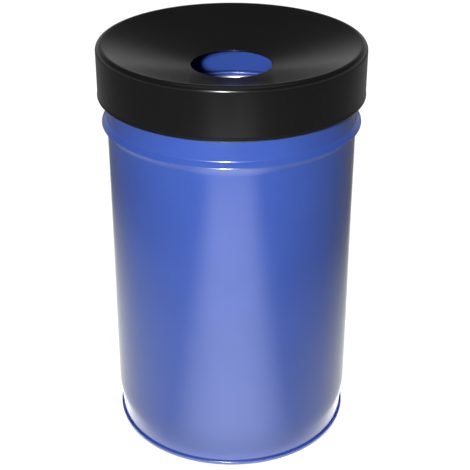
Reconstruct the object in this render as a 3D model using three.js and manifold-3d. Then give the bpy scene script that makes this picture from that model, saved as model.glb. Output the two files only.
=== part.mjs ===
// Self-extinguishing waste bin, about 60 litres: a sheet-steel can with a formed bead and a rolled rim,
// and a loose fire-damping head that stands on the rim and has a round throw-in hole in its dished top.
// Units are millimetres, +Z is up, the origin is on the floor on the can's axis, and the front faces -Y.
import * as THREE from 'three';
import { mergeVertices } from 'three/addons/utils/BufferGeometryUtils.js';
import Module from 'manifold-3d';

const wasm = await Module();
wasm.setup();

// ---------------------------------------------------------------- driving dimensions

const TOUCH_GAP = 0.3; // left between two pieces that touch or interlock

const CAN_DIAMETER = 375; // outside of the plain wall
const CAN_HEIGHT = 600; // floor to the top of the rolled rim
const CAN_SHEET = 0.8;
const RIM_WIRE_DIAMETER = 5;
const RIM_CURL_TURN = 290; // degrees of sheet wrapped round the wire

const BEAD_DROP = 83.7; // rim top down to the bead's sharp lower lip
const BEAD_REACH = 7.9; // how far the lip stands proud of the wall
const BEAD_STEP_SLOPE = 50; // degrees from upright, above the lip
const BEAD_STEP_RADIUS = 3;
const BEAD_FLARE_HEIGHT = 11.5; // the slow flare under the lip
const BEAD_FLARE_TURN = 30; // degrees
const BEAD_CREASE_RADIUS = 1.8; // where the flare turns out under the lip
const BEAD_UNDERSIDE_SLOPE = 10; // degrees
const BEAD_LIP_RADIUS = 1.3;

const NECK_TAPER = 6; // degrees the wall leans in above the bead
const MOUTH_INSET = 6; // how far the mouth lies inside the plain wall
const MOUTH_BEND_RADIUS = 30;

const FOOT_INSET = 3.5; // how far the wall draws in towards the base seam
const FOOT_NECK_BOTTOM = 8.5; // height where it starts to widen
const FOOT_NECK_HEIGHT = 60;
const SEAM_HEIGHT = 6.7; // the folded hoop that joins wall and base
const BASE_SHEET = 0.8;
const BASE_RECESS = 12; // floor to the middle of the base's sheet
const BASE_BEND_RADIUS = 4;
const FOOT_FLAT = 1.5; // flat under the hoop that stands on the floor

const HEAD_SHEET = 1;
const HEAD_SIDE_GAP = 11.5; // can wall to the inside of the skirt
const HEAD_RISE = 35; // rim top up to the head's crest
const SKIRT_DEPTH = 77.4; // crest down to the hem
const CREST_RADIUS = 8.3;
const HEM_RADIUS = 1.8;
const HEM_SWELL = 0.6; // how far the hem stands proud of the skirt
const HEM_SWELL_TURN = 15; // degrees
const DISH_SLOPE_AT_CREST = 18.5; // degrees
const DISH_SLOPE_AT_HOLE = 12; // degrees
const HOLE_DIAMETER = 121;
const HOLE_LIP_RADIUS = 1.2;

const BRACKET_COUNT = 4;
const BRACKET_SHEET = 1.5;
const BRACKET_WIDTH = 26;
const BRACKET_BEND_RADIUS = 2;
const TONGUE_DEPTH = 30; // shelf down to the tongue's end, inside the can's mouth
const TONGUE_SIDE_GAP = 3; // tongue to the inside of the can
const LEG_TOP_GAP = 2.5; // leg's end down from where the crest starts to bend
const PAD_DIAMETER = 10;
const PAD_THICKNESS = 5;
const PAD_STEM_DIAMETER = 4.4;
const PAD_BUTTON_DIAMETER = 7.6;
const PAD_BUTTON_THICKNESS = 1.4;
const PAD_CHAMFER = 0.8;
const STUD_DIAMETER = 5;
const STUD_TIP = 1.6; // stud past the nut
const STUD_TIP_CHAMFER = 0.6;
const NUT_ACROSS_FLATS = 8;
const NUT_HEIGHT = 4;

const SEGMENTS = 48; // sides of every large ring
const SMALL_SEGMENTS = 12;
const WIRE_SIDES = 8;

// ---------------------------------------------------------------- worked-out dimensions

const wallRadius = (CAN_DIAMETER - CAN_SHEET) / 2; // middle of the can's sheet
const mouthRadius = wallRadius - MOUTH_INSET;
const curlRadius = RIM_WIRE_DIAMETER / 2 + TOUCH_GAP + CAN_SHEET / 2;
const curlCentreRadius = mouthRadius + curlRadius;
const curlCentreHeight = CAN_HEIGHT - curlRadius - CAN_SHEET / 2;

// The base seam is two hooks, one inside the other, round shared centres.
const hookRadius = (BASE_SHEET + CAN_SHEET) / 2 + TOUCH_GAP;
const seamInnerRadius = hookRadius + (CAN_SHEET + BASE_SHEET) / 2 + TOUCH_GAP;
const seamCentreRadius = wallRadius - FOOT_INSET + hookRadius;
const seamCentreHeight = seamInnerRadius + BASE_SHEET / 2;
const seamTopCentreHeight = SEAM_HEIGHT - hookRadius - BASE_SHEET / 2;
const baseWallRadius = seamCentreRadius - seamInnerRadius - FOOT_FLAT;

const crestHeight = CAN_HEIGHT + HEAD_RISE;
const skirtOuterRadius = CAN_DIAMETER / 2 + HEAD_SIDE_GAP + HEAD_SHEET;
const skirtRadius = skirtOuterRadius - HEAD_SHEET / 2;
const skirtInnerRadius = skirtOuterRadius - HEAD_SHEET;
const hemHeight = crestHeight - SKIRT_DEPTH;

const shelfBottom = CAN_HEIGHT + PAD_THICKNESS + 2 * TOUCH_GAP;
const shelfHeight = shelfBottom + BRACKET_SHEET / 2;
const legTop = crestHeight - CREST_RADIUS - LEG_TOP_GAP;
const legOuterRadius = chordDistance(skirtInnerRadius, BRACKET_WIDTH) - TOUCH_GAP;
const legRadius = legOuterRadius - BRACKET_SHEET / 2;
const tongueByMouth = mouthRadius - CAN_SHEET / 2 - TONGUE_SIDE_GAP - BRACKET_SHEET / 2;
const tongueByPad = curlCentreRadius - PAD_DIAMETER / 2 - TOUCH_GAP - BRACKET_BEND_RADIUS;
const tongueRadius = Math.min(tongueByMouth, tongueByPad);
const studHeight = (legTop + shelfHeight + BRACKET_SHEET / 2 + BRACKET_BEND_RADIUS / 2) / 2;
const nutOuterRadius = legOuterRadius - BRACKET_SHEET - TOUCH_GAP;
const studInnerRadius = nutOuterRadius - NUT_HEIGHT - STUD_TIP;

// Distance from the axis to the chord of a given width, on the flat-sided ring that stands for a circle.
function chordDistance(radius, width) {
  const facetInset = radius * (1 - Math.cos(Math.PI / SEGMENTS));
  return Math.sqrt(radius * radius - (width / 2) ** 2) - facetInset;
}

// ---------------------------------------------------------------- finishes

const blueLacquer = { color: 0x3d59b4, roughness: 0.22, metalness: 0 };
const blackLacquer = { color: 0x17181a, roughness: 0.38, metalness: 0 };
const zincPlate = { color: 0xa9adb0, roughness: 0.35, metalness: 1 };
const brightWire = { color: 0x8d9093, roughness: 0.4, metalness: 1 };
const blackRubber = { color: 0x1b1b1b, roughness: 0.8, metalness: 0 };

// ---------------------------------------------------------------- shape helpers

// The middle line of a bent sheet, drawn in the (radius, height) half-plane by moving and turning.
// Angles are in degrees: 0 points away from the axis, 90 points up, and a positive bend turns left.
class SheetLine {
  constructor(radius, height, heading) {
    this.radius = radius;
    this.height = height;
    this.heading = heading;
    this.samples = [];
    this.mark();
  }

  mark() {
    this.samples.push({ radius: this.radius, height: this.height, heading: radians(this.heading) });
  }

  straight(length) {
    this.radius += length * Math.cos(radians(this.heading));
    this.height += length * Math.sin(radians(this.heading));
    this.mark();
    return this;
  }

  straightToHeight(height) {
    return this.straight((height - this.height) / Math.sin(radians(this.heading)));
  }

  straightToRadius(radius) {
    return this.straight((radius - this.radius) / Math.cos(radians(this.heading)));
  }

  bend(bendRadius, turn, steps) {
    const side = Math.sign(turn);
    for (let step = 0; step < steps; step += 1) {
      const before = radians(this.heading);
      this.heading += turn / steps;
      const after = radians(this.heading);
      this.radius += side * bendRadius * (Math.sin(after) - Math.sin(before));
      this.height -= side * bendRadius * (Math.cos(after) - Math.cos(before));
      this.mark();
    }
    return this;
  }

  // Both faces of the sheet, out along the right-hand face and back along the left-hand one.
  faces(thickness) {
    const offset = (sample, distance) => new THREE.Vector2(
      Math.max(0, sample.radius - distance * Math.sin(sample.heading)),
      sample.height + distance * Math.cos(sample.heading),
    );
    const right = this.samples.map((sample) => offset(sample, -thickness / 2));
    const left = this.samples.map((sample) => offset(sample, thickness / 2));
    return [...right, ...left.reverse()];
  }
}

function radians(degrees) {
  return THREE.MathUtils.degToRad(degrees);
}

// Turns an outline in the (radius, height) half-plane about the Z axis.
function revolve(outline, sides) {
  const geometry = new THREE.LatheGeometry(outline, sides);
  geometry.rotateX(Math.PI / 2);
  return geometry;
}

function revolveRing(outline) {
  return revolve([...outline, outline[0].clone()], SEGMENTS);
}

function toSolid(geometry) {
  const bare = geometry.clone();
  bare.deleteAttribute('normal');
  bare.deleteAttribute('uv');
  const merged = mergeVertices(bare, 1e-4);
  const vertProperties = new Float32Array(merged.attributes.position.array);
  const triVerts = new Uint32Array(merged.index.array);
  return new wasm.Manifold(new wasm.Mesh({ numProp: 3, vertProperties, triVerts }));
}

function toGeometry(solid) {
  const mesh = solid.getMesh();
  const geometry = new THREE.BufferGeometry();
  geometry.setAttribute('position', new THREE.BufferAttribute(mesh.vertProperties, 3));
  geometry.setIndex(new THREE.BufferAttribute(mesh.triVerts, 1));
  geometry.computeVertexNormals();
  return geometry;
}

function drill(geometry, cutters) {
  const drilled = cutters.reduce((solid, cutter) => solid.subtract(toSolid(cutter)), toSolid(geometry));
  return toGeometry(drilled);
}

function namedMesh(name, geometry, finish) {
  const mesh = new THREE.Mesh(geometry, new THREE.MeshStandardMaterial(finish));
  mesh.name = name;
  return mesh;
}

// ---------------------------------------------------------------- can

// The wall widens from the base seam to its full radius along two opposite arcs.
function addFootNeck(line) {
  const neckTurn = 2 * Math.atan(FOOT_INSET / FOOT_NECK_HEIGHT);
  const neckBend = FOOT_NECK_HEIGHT / 2 / Math.sin(neckTurn);
  const turn = THREE.MathUtils.radToDeg(neckTurn);
  return line
    .straightToHeight(FOOT_NECK_BOTTOM)
    .bend(neckBend, -turn, 3)
    .bend(neckBend, turn, 3);
}

// Flare, crease, sharp lip and sloping step, from the plain wall to the start of the leaning neck.
function addBead(line) {
  const lipHeight = CAN_HEIGHT - BEAD_DROP;
  const lipRadius = CAN_DIAMETER / 2 + BEAD_REACH - CAN_SHEET / 2;
  const flareRadius = BEAD_FLARE_HEIGHT / Math.sin(radians(BEAD_FLARE_TURN));
  const creaseTurn = 90 - BEAD_FLARE_TURN - BEAD_UNDERSIDE_SLOPE;
  const lipTurn = 90 - BEAD_UNDERSIDE_SLOPE + BEAD_STEP_SLOPE;
  const lipEntry = BEAD_LIP_RADIUS * (1 - Math.sin(radians(BEAD_UNDERSIDE_SLOPE)));
  const bendShare = Math.cos(radians(NECK_TAPER)) - Math.cos(radians(BEAD_STEP_SLOPE));
  const stepBendReach = BEAD_STEP_RADIUS * bendShare;
  return line
    .straightToHeight(lipHeight - BEAD_LIP_RADIUS - BEAD_CREASE_RADIUS - BEAD_FLARE_HEIGHT)
    .bend(flareRadius, -BEAD_FLARE_TURN, 2)
    .bend(BEAD_CREASE_RADIUS, -creaseTurn, 2)
    .straightToRadius(lipRadius - lipEntry)
    .bend(BEAD_LIP_RADIUS, lipTurn, 5)
    .straightToRadius(wallRadius + stepBendReach)
    .bend(BEAD_STEP_RADIUS, NECK_TAPER - BEAD_STEP_SLOPE, 3);
}

// The neck leans in from the bead to the mouth and ends upright.
function addNeck(line) {
  const mouthBendReach = MOUTH_BEND_RADIUS * (1 - Math.cos(radians(NECK_TAPER)));
  return line
    .straightToRadius(mouthRadius + mouthBendReach)
    .bend(MOUTH_BEND_RADIUS, -NECK_TAPER, 2);
}

// One sheet from the hook in the base seam, up the wall and over the bead, to the curl round the wire.
function canShell() {
  const line = new SheetLine(seamCentreRadius + hookRadius, seamTopCentreHeight, 270)
    .straightToHeight(seamCentreHeight)
    .bend(hookRadius, -180, 3);
  addFootNeck(line);
  addBead(line);
  addNeck(line)
    .straightToHeight(curlCentreHeight)
    .bend(curlRadius, -RIM_CURL_TURN, 8);
  return namedMesh('can_shell', revolveRing(line.faces(CAN_SHEET)), blueLacquer);
}

function rimWire() {
  const geometry = new THREE.TorusGeometry(curlCentreRadius, RIM_WIRE_DIAMETER / 2, WIRE_SIDES, SEGMENTS);
  geometry.translate(0, 0, curlCentreHeight);
  return namedMesh('rim_wire', geometry, brightWire);
}

// Raised disc, short wall, foot, outer face of the hoop, and the hook that locks into the can's own.
function basePan() {
  const hookEnd = seamCentreHeight + TOUCH_GAP;
  const line = new SheetLine(0, BASE_RECESS, 0)
    .straightToRadius(baseWallRadius - BASE_BEND_RADIUS)
    .bend(BASE_BEND_RADIUS, -90, 2)
    .straightToHeight(seamCentreHeight)
    .bend(seamInnerRadius, 90, 3)
    .straight(FOOT_FLAT)
    .bend(seamInnerRadius, 90, 3)
    .straightToHeight(seamTopCentreHeight)
    .bend(hookRadius, 180, 3)
    .straightToHeight(hookEnd);
  return namedMesh('base_pan', revolve(line.faces(BASE_SHEET), SEGMENTS), blueLacquer);
}

// ---------------------------------------------------------------- head

// One pressing: hem, skirt, rounded crest, hollow dish and the rolled edge of the throw-in hole.
function headCover() {
  const hemBend = HEM_RADIUS - HEAD_SHEET / 2;
  const swellRadius = HEM_SWELL / 2 / (1 - Math.cos(radians(HEM_SWELL_TURN)));
  const crestBend = CREST_RADIUS - HEAD_SHEET / 2;
  const lipBend = HOLE_LIP_RADIUS - HEAD_SHEET / 2;
  const dishStart = skirtRadius - crestBend * (1 + Math.sin(radians(DISH_SLOPE_AT_CREST)));
  const dishEnd = HOLE_DIAMETER / 2 + HOLE_LIP_RADIUS - lipBend * Math.sin(radians(DISH_SLOPE_AT_HOLE));
  const slopeChange = Math.sin(radians(DISH_SLOPE_AT_CREST)) - Math.sin(radians(DISH_SLOPE_AT_HOLE));
  const dishRadius = (dishStart - dishEnd) / slopeChange;
  const line = new SheetLine(skirtRadius + HEM_SWELL - 2 * hemBend, hemHeight + HEM_RADIUS, 270)
    .bend(hemBend, 180, 4)
    .bend(swellRadius, HEM_SWELL_TURN, 1)
    .bend(swellRadius, -HEM_SWELL_TURN, 1)
    .straightToHeight(crestHeight - CREST_RADIUS)
    .bend(crestBend, 90 + DISH_SLOPE_AT_CREST, 5)
    .bend(dishRadius, DISH_SLOPE_AT_HOLE - DISH_SLOPE_AT_CREST, 4)
    .bend(lipBend, 180, 4);
  return namedMesh('head_cover', revolveRing(line.faces(HEAD_SHEET)), blackLacquer);
}

// Cylinder whose axis runs out from the Z axis along X, for the stud's hole.
function radialCutter(radius, innerRadius, outerRadius, height) {
  const cutter = new THREE.CylinderGeometry(radius, radius, outerRadius - innerRadius, SMALL_SEGMENTS);
  cutter.rotateZ(Math.PI / 2);
  cutter.translate((innerRadius + outerRadius) / 2, 0, height);
  return cutter;
}

function uprightCutter(radius, distance, bottom, top) {
  const cutter = new THREE.CylinderGeometry(radius, radius, top - bottom, SMALL_SEGMENTS);
  cutter.rotateX(Math.PI / 2);
  cutter.translate(distance, 0, (bottom + top) / 2);
  return cutter;
}

// Bent strip: leg on the skirt, shelf over the rim, and a tongue that centres the head in the can.
function bracketGeometry() {
  const outline = new SheetLine(legRadius, legTop, 270)
    .straightToHeight(shelfHeight + BRACKET_BEND_RADIUS)
    .bend(BRACKET_BEND_RADIUS, -90, 3)
    .straightToRadius(tongueRadius + BRACKET_BEND_RADIUS)
    .bend(BRACKET_BEND_RADIUS, 90, 3)
    .straightToHeight(shelfHeight - TONGUE_DEPTH)
    .faces(BRACKET_SHEET);
  const options = { depth: BRACKET_WIDTH, bevelEnabled: false };
  const strip = new THREE.ExtrudeGeometry(new THREE.Shape(outline), options);
  strip.rotateX(Math.PI / 2);
  strip.translate(0, BRACKET_WIDTH / 2, 0);
  const reach = BRACKET_SHEET;
  const studBore = STUD_DIAMETER / 2 + TOUCH_GAP;
  const studHole = radialCutter(studBore, legRadius - reach, legRadius + reach, studHeight);
  const stemBore = PAD_STEM_DIAMETER / 2 + TOUCH_GAP;
  const stemHole = uprightCutter(stemBore, curlCentreRadius, shelfHeight - reach, shelfHeight + reach);
  return drill(strip, [studHole, stemHole]);
}

// Rubber foot under the shelf, with a stem through it and a button that holds it in.
function padGeometry() {
  const bottom = CAN_HEIGHT + TOUCH_GAP;
  const buttonBottom = shelfBottom + BRACKET_SHEET + TOUCH_GAP;
  const outline = [
    [0, bottom],
    [PAD_DIAMETER / 2 - PAD_CHAMFER, bottom],
    [PAD_DIAMETER / 2, bottom + PAD_CHAMFER],
    [PAD_DIAMETER / 2, bottom + PAD_THICKNESS],
    [PAD_STEM_DIAMETER / 2, bottom + PAD_THICKNESS],
    [PAD_STEM_DIAMETER / 2, buttonBottom],
    [PAD_BUTTON_DIAMETER / 2, buttonBottom],
    [PAD_STEM_DIAMETER / 2, buttonBottom + PAD_BUTTON_THICKNESS],
    [0, buttonBottom + PAD_BUTTON_THICKNESS],
  ].map(([radius, height]) => new THREE.Vector2(radius, height));
  const geometry = revolve(outline, SMALL_SEGMENTS);
  geometry.translate(curlCentreRadius, 0, 0);
  return geometry;
}

// Threaded stud welded to the inside of the skirt, so that nothing shows outside.
function studGeometry() {
  const length = skirtInnerRadius * Math.cos(Math.PI / SEGMENTS) - TOUCH_GAP - studInnerRadius;
  const outline = [
    [0, 0],
    [STUD_DIAMETER / 2, 0],
    [STUD_DIAMETER / 2, length - STUD_TIP_CHAMFER],
    [STUD_DIAMETER / 2 - STUD_TIP_CHAMFER, length],
    [0, length],
  ].map(([radius, height]) => new THREE.Vector2(radius, height));
  const geometry = revolve(outline, SMALL_SEGMENTS);
  geometry.rotateY(-Math.PI / 2);
  geometry.translate(studInnerRadius + length, 0, studHeight);
  return geometry;
}

function nutGeometry() {
  const corner = NUT_ACROSS_FLATS / 2 / Math.cos(Math.PI / 6);
  const corners = Array.from({ length: 6 }, (_, side) => new THREE.Vector2(
    corner * Math.cos(side * Math.PI / 3),
    corner * Math.sin(side * Math.PI / 3),
  ));
  const shape = new THREE.Shape(corners);
  shape.holes.push(new THREE.Path().absarc(0, 0, STUD_DIAMETER / 2 + TOUCH_GAP, 0, 2 * Math.PI, true));
  const options = { depth: NUT_HEIGHT, bevelEnabled: false, curveSegments: SMALL_SEGMENTS };
  const geometry = new THREE.ExtrudeGeometry(shape, options);
  geometry.rotateY(-Math.PI / 2);
  geometry.rotateX(Math.PI / 2);
  geometry.translate(nutOuterRadius, 0, studHeight);
  return geometry;
}

// One seat of the head: bracket, rubber pad, weld stud and nut, built at +X and turned into place.
function headSeat(number, angle) {
  const seat = new THREE.Group();
  seat.rotation.z = angle;
  seat.add(
    namedMesh(`rest_bracket_${number}`, bracketGeometry(), zincPlate),
    namedMesh(`rest_pad_${number}`, padGeometry(), blackRubber),
    namedMesh(`bracket_stud_${number}`, studGeometry(), zincPlate),
    namedMesh(`bracket_nut_${number}`, nutGeometry(), zincPlate),
  );
  return seat;
}

// ---------------------------------------------------------------- assembly

function buildCan() {
  const can = new THREE.Group();
  can.add(canShell(), rimWire(), basePan());
  return can;
}

function buildHead() {
  const head = new THREE.Group();
  head.add(headCover());
  for (let seat = 0; seat < BRACKET_COUNT; seat += 1) {
    head.add(headSeat(seat + 1, (seat * 2 * Math.PI) / BRACKET_COUNT));
  }
  return head;
}

const wasteBin = new THREE.Group();
wasteBin.add(buildCan(), buildHead());

export default wasteBin;
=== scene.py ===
"""Self-extinguishing waste bin: the finished surfaces of its can and of its loose black head.

The can is one lacquered sheet from a folded base seam, up over a pressed bead, to a curl round a wire.
The head is one pressing with a dished top and a rolled throw-in hole, and it stands on the can's rim on
four bent brackets with rubber pads. Lengths are metres, +Z is up, the axis of the bin is the Z axis and
the front faces -Y.
"""
import logging
import math
from dataclasses import dataclass, field
from enum import Enum

import bpy
import numpy as np
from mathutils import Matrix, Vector
from mathutils.geometry import delaunay_2d_cdt


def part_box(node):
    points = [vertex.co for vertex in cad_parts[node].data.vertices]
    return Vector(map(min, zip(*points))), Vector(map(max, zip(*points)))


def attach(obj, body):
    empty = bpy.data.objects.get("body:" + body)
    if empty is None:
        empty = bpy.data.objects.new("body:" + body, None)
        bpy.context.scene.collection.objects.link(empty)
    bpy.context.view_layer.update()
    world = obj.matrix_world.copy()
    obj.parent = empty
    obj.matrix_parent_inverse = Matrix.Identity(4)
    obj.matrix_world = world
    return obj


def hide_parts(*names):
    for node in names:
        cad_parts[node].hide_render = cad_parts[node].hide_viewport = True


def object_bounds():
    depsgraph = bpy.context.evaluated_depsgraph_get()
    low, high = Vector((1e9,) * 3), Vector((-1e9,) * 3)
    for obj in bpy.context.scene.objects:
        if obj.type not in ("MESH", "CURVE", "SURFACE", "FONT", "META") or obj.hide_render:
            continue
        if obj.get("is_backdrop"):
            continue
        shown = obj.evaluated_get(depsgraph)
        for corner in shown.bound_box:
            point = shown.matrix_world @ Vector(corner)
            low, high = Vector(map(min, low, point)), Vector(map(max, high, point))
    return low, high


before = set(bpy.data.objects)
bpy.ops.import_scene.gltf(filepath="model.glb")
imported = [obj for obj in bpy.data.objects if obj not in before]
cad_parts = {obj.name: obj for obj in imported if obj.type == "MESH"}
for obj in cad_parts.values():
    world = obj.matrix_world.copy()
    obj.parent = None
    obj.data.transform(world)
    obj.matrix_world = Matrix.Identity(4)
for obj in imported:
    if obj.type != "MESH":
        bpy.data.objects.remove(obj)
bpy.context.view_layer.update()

MM = 0.001
LOG = logging.getLogger("waste_bin")
Colour = tuple[float, float, float]


class Body(str, Enum):
    """The two bodies that the pieces ride on."""

    CAN = "can"
    HEAD = "head"


class Slot(str, Enum):
    """The record's material slots."""

    CAN_LACQUER = "can_lacquer"
    HEAD_LACQUER = "head_lacquer"
    PLATED_STEEL = "plated_steel"
    BRIGHT_WIRE = "bright_wire"
    PAD_RUBBER = "pad_rubber"


# ---------------------------------------------------------------- profiles and grids


def smoothstep(value: np.ndarray, low: float, high: float) -> np.ndarray:
    """Rises smoothly from 0 at low to 1 at high, as 3t^2 - 2t^3.

    Args:
        value: Where to work the step out.
        low: Where the rise starts.
        high: Where it ends.

    Returns:
        The step's height, from 0 to 1.
    """
    share = np.clip((value - low) / (high - low), 0.0, 1.0)
    return share * share * (3.0 - 2.0 * share)


@dataclass
class SheetLine:
    """The middle line of a bent sheet, drawn in the (radius, height) half-plane by moving and turning.

    Heading 0 points away from the axis and a quarter turn points up. A positive bend turns left.
    """

    radius: float
    height: float
    heading: float
    step: float = 6.0 * MM
    guard: float = 0.4 * MM
    arc_step: float = math.radians(8.0)
    rows: list[np.ndarray] = field(default_factory=list)

    def __post_init__(self) -> None:
        """Marks the starting point."""
        self.rows.append(np.array([[self.radius, self.height, self.heading]]))

    def straight(self, length: float) -> "SheetLine":
        """Goes straight on, in even steps between one short guard step at each end.

        Args:
            length: How far to go.

        Returns:
            The line itself.
        """
        guard = min(self.guard, length / 3.0)
        count = max(1, math.ceil((length - 2.0 * guard) / self.step))
        along = np.append(np.linspace(guard, length - guard, count + 1), length)
        radius = self.radius + along * math.cos(self.heading)
        height = self.height + along * math.sin(self.heading)
        self.rows.append(np.column_stack([radius, height, np.full(along.size, self.heading)]))
        self.radius, self.height = float(radius[-1]), float(height[-1])
        return self

    def to_height(self, height: float) -> "SheetLine":
        """Goes straight on to a height.

        Args:
            height: The height to reach.

        Returns:
            The line itself.
        """
        return self.straight((height - self.height) / math.sin(self.heading))

    def to_radius(self, radius: float) -> "SheetLine":
        """Goes straight on to a distance from the axis.

        Args:
            radius: The distance to reach.

        Returns:
            The line itself.
        """
        return self.straight((radius - self.radius) / math.cos(self.heading))

    def bend(self, bend_radius: float, turn: float, finest: int = 3) -> "SheetLine":
        """Follows an arc: the line's own direction turns evenly while its centre stays put.

        Args:
            bend_radius: Radius of the sheet's middle line in the bend.
            turn: How far to turn, in radians, positive to the left.
            finest: The fewest steps that the arc may have.

        Returns:
            The line itself.
        """
        side = math.copysign(1.0, turn)
        count = max(finest, math.ceil(abs(turn) / self.arc_step))
        heading = self.heading + np.linspace(0.0, turn, count + 1)[1:]
        radius = self.radius + side * bend_radius * (np.sin(heading) - math.sin(self.heading))
        height = self.height - side * bend_radius * (np.cos(heading) - math.cos(self.heading))
        self.rows.append(np.column_stack([radius, height, heading]))
        self.radius, self.height = float(radius[-1]), float(height[-1])
        self.heading = float(heading[-1])
        return self

    def table(self) -> np.ndarray:
        """Gathers the samples.

        Returns:
            Every sample as a row of radius, height and heading.
        """
        return np.vstack(self.rows)


@dataclass
class Outline:
    """A section of a sheet in the (radius, height) half-plane: points, the way each faces and its bend."""

    points: np.ndarray
    normals: np.ndarray
    sharpness: np.ndarray
    closed: bool

    @classmethod
    def of_sheet(cls, line: SheetLine, thickness: float, on_axis: bool = False) -> "Outline":
        """Gives the sheet its thickness.

        Each face is the middle line moved along its own normal by half the thickness. The cut edges are half
        circles. A line that starts on the axis has no edge there.

        Args:
            line: The sheet's middle line.
            thickness: The sheet's thickness.
            on_axis: Whether the line starts on the axis.

        Returns:
            The section, with its solid side to the left of the way round.
        """
        table = line.table()
        place, heading = table[:, :2], table[:, 2]
        left = np.column_stack([-np.sin(heading), np.cos(heading)])
        half = thickness / 2.0
        lengths = np.linalg.norm(np.diff(place, axis=0), axis=1)
        rate = np.abs(np.diff(heading)) / np.maximum(lengths, 1e-9)
        bend = np.maximum(np.append(rate, 0.0), np.append(0.0, rate)) * MM
        end_turn = np.linspace(-math.pi / 2, math.pi / 2, 7)[1:-1]
        far = np.column_stack([np.cos(heading[-1] + end_turn), np.sin(heading[-1] + end_turn)])
        edge_bend = np.ones(end_turn.size)
        points = [place - half * left, place[-1] + half * far, (place + half * left)[::-1]]
        normals = [-left, far, left[::-1]]
        sharp = [bend, edge_bend, bend[::-1]]
        if not on_axis:
            near = np.column_stack(
                [np.cos(heading[0] + math.pi + end_turn), np.sin(heading[0] + math.pi + end_turn)]
            )
            points.append(place[0] + half * near)
            normals.append(near)
            sharp.append(edge_bend)
        return cls(np.vstack(points), np.vstack(normals), np.clip(np.concatenate(sharp), 0, 1), not on_axis)

    @classmethod
    def of_points(cls, points: np.ndarray, closed: bool) -> "Outline":
        """Makes an outline from points that already run with the solid side on the left.

        Args:
            points: Rows of radius and height.
            closed: Whether the last point joins the first; otherwise both lie on the axis.

        Returns:
            The outline, each point facing at right angles to the chord of its neighbours.
        """
        ahead, behind = np.roll(points, -1, axis=0), np.roll(points, 1, axis=0)
        if not closed:
            ahead[-1], behind[0] = points[-1], points[0]
        chord = ahead - behind
        facing = np.column_stack([chord[:, 1], -chord[:, 0]])
        facing /= np.maximum(np.linalg.norm(facing, axis=1, keepdims=True), 1e-12)
        return cls(points, facing, np.zeros(len(points)), closed)


def rounded_path(corners: list[tuple[float, float, float]], steps: int = 4) -> np.ndarray:
    """Rounds the corners of a path: each corner becomes a quadratic curve between two points on its sides.

    The curve is (1-t)^2 A + 2t(1-t) B + t^2 C, where B is the corner and A and C lie its radius away.

    Args:
        corners: Each corner's two coordinates and how far the rounding reaches along its sides.
        steps: Steps in each rounding.

    Returns:
        The path's points, the first and the last corner kept as they are.
    """
    table = np.array(corners)
    place, reach = table[:, :2], table[:, 2:3]
    inner, before, after = place[1:-1], place[:-2], place[2:]
    back = (before - inner) / np.linalg.norm(before - inner, axis=1, keepdims=True)
    ahead = (after - inner) / np.linalg.norm(after - inner, axis=1, keepdims=True)
    start, stop = inner + back * reach[1:-1], inner + ahead * reach[1:-1]
    t = np.linspace(0.0, 1.0, steps + 1)[None, :, None]
    curve = (1 - t) ** 2 * start[:, None] + 2 * t * (1 - t) * inner[:, None] + t**2 * stop[:, None]
    return np.vstack([place[:1], curve.reshape(-1, 2), place[-1:]])


@dataclass
class Grid:
    """A surface on a two-parameter grid: rows run round the outline and columns run round the axis."""

    places: np.ndarray
    closed: bool
    sharpness: np.ndarray

    @classmethod
    def revolved(cls, outline: Outline, angles: np.ndarray, relief: np.ndarray | float = 0.0,
                 swell: np.ndarray | float = 0.0) -> "Grid":
        """Turns an outline about the Z axis: a point is (r cos a, r sin a, z).

        Args:
            outline: The section.
            angles: The columns' angles.
            relief: How far each point moves away from the axis.
            swell: How far each point moves the way its face looks.

        Returns:
            The grid of points.
        """
        shape = (len(outline.points), angles.size)
        radius = outline.points[:, :1] + relief + swell * outline.normals[:, :1]
        height = outline.points[:, 1:] + swell * outline.normals[:, 1:]
        places = np.empty((*shape, 3))
        places[..., 0] = radius * np.cos(angles)
        places[..., 1] = radius * np.sin(angles)
        places[..., 2] = np.broadcast_to(height, shape)
        return cls(places, outline.closed, outline.sharpness)

    def faces(self) -> tuple[np.ndarray, np.ndarray]:
        """Joins neighbouring points: four to a face, and three where a row is a pole.

        Returns:
            The four-sided faces and the three-sided faces, as vertex numbers.
        """
        rows, columns = self.places.shape[:2]
        number = np.arange(rows * columns).reshape(rows, columns)
        after = np.roll(number, -1, axis=1)
        if self.closed:
            above, above_after = np.roll(number, -1, axis=0), np.roll(after, -1, axis=0)
            low, low_after = number, after
        else:
            low, low_after = number[1:-2], after[1:-2]
            above, above_after = number[2:-1], after[2:-1]
        quads = np.stack([low, low_after, above_after, above], axis=-1).reshape(-1, 4)
        if self.closed:
            return quads, np.empty((0, 3), int)
        first, last = number[0, 0], number[-1, 0]
        start = np.column_stack([np.full(columns, first), after[1], number[1]])
        stop = np.column_stack([np.full(columns, last), number[-2], after[-2]])
        return quads, np.vstack([start, stop])

    def turned(self, angle: float) -> "Grid":
        """Turns the surface about the Z axis.

        Args:
            angle: The turn in radians.

        Returns:
            The turned surface.
        """
        return Grid(turn_about_axis(self.places, angle), self.closed, self.sharpness)

    def to_mesh(self, name: str) -> bpy.types.Mesh:
        """Puts the grid into a mesh, with poles as single points and the bend as an attribute.

        Args:
            name: The mesh's name.

        Returns:
            The mesh, smooth shaded.
        """
        quads, corners = self.faces()
        rows, columns = self.places.shape[:2]
        places = self.places.reshape(-1, 3)
        bend = np.repeat(self.sharpness, columns)
        used = np.unique(np.concatenate([quads.ravel(), corners.ravel()]))
        renumber = np.zeros(rows * columns, int)
        renumber[used] = np.arange(used.size)
        return mesh_from(name, places[used], renumber[quads], renumber[corners], bend[used])


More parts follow.
